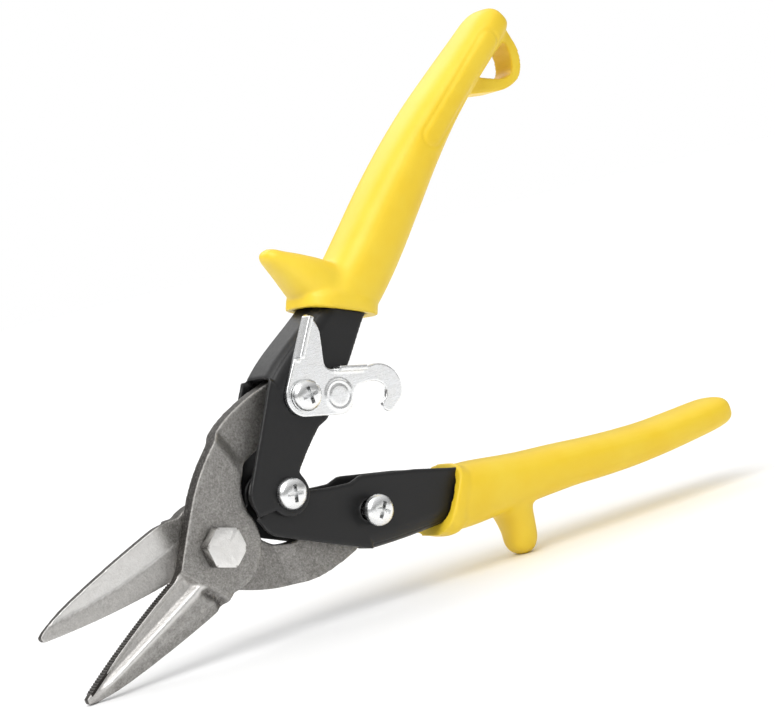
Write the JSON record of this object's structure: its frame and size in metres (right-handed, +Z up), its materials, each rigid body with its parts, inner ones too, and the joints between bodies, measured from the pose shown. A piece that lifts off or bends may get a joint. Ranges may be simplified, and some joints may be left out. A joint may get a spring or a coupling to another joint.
{
  "type": "aviation snips",
  "caption": "Compound-action straight-cut sheet metal snips with pivoting blades, sheet steel handles in soft grips, an opening spring and a thumb latch.",
  "frame": {"origin": "centre of the footprint, on the floor, with the tool standing open on the lower jaw's tip and the lower grip's finger guard", "axes": "+X runs from the jaws back to the ends of the grips along the floor, +Y runs across the tool from the latch side to the nut side, and +Z is up; y = 0 is the shearing plane between the blades"},
  "size_m": [0.2536, 0.0288, 0.169],
  "materials": {
    "forged_steel": "forged and sand-blasted grey steel, ground bright at the cutting lands",
    "black_coat": "satin black powder coat on pressed steel sheet",
    "bright_zinc": "bright zinc plate, lightly worn",
    "spring_steel": "dark oiled spring steel",
    "yellow_grip": "soft satin yellow vinyl"
  },
  "bodies": {
    "lower_side": {"lower_handle": "black_coat", "lower_grip": "yellow_grip", "catch_screw": "bright_zinc", "catch_screw_nut": "bright_zinc", "lower_tang_spacer_near": "spring_steel", "lower_tang_spacer_far": "spring_steel", "handle_spring": "spring_steel"},
    "upper_side": {"upper_handle": "black_coat", "upper_grip": "yellow_grip", "handle_pivot_sleeve": "spring_steel", "handle_pivot_screw": "bright_zinc", "handle_pivot_nut": "bright_zinc", "latch_screw": "bright_zinc", "latch_screw_nut": "bright_zinc", "upper_tang_spacer_near": "spring_steel", "upper_tang_spacer_far": "spring_steel"},
    "lower_jaw": {"near_blade": "forged_steel", "blade_bolt": "forged_steel", "blade_bolt_washer": "forged_steel", "blade_bolt_nut": "forged_steel"},
    "upper_jaw": {"far_blade": "forged_steel"},
    "latch_lever": {"latch": "bright_zinc"}
  },
  "joints": [
    {"name": "handle_hinge", "type": "hinge", "parent": "lower_side", "child": "upper_side", "pos_m": [-0.04421, 0, 0.04095], "axis": [0, 1, 0], "range_deg": [0, 42.2], "stiffness_Nm_per_rad": 0.8, "springref_deg": -34.38, "deforming": ["handle_spring"]},
    {"name": "upper_tang_hinge", "type": "hinge", "parent": "upper_side", "child": "lower_jaw", "pos_m": [-0.03254, 0, 0.06749], "axis": [0, -1, 0], "range_deg": [0, 10.8]},
    {"name": "blade_hinge", "type": "hinge", "parent": "lower_jaw", "child": "upper_jaw", "pos_m": [-0.06881, 0, 0.03165], "axis": [0, -1, 0], "range_deg": [0, 20.7]},
    {"name": "latch_hinge", "type": "hinge", "parent": "upper_side", "child": "latch_lever", "pos_m": [-0.03254, 0, 0.06749], "axis": [0, 1, 0], "range_deg": [0, 36]}
  ],
  "couplings": [
    {"joint": "upper_tang_hinge", "follows": "handle_hinge", "ratio": 0.25509},
    {"joint": "blade_hinge", "follows": "handle_hinge", "ratio": 0.48982}
  ]
}
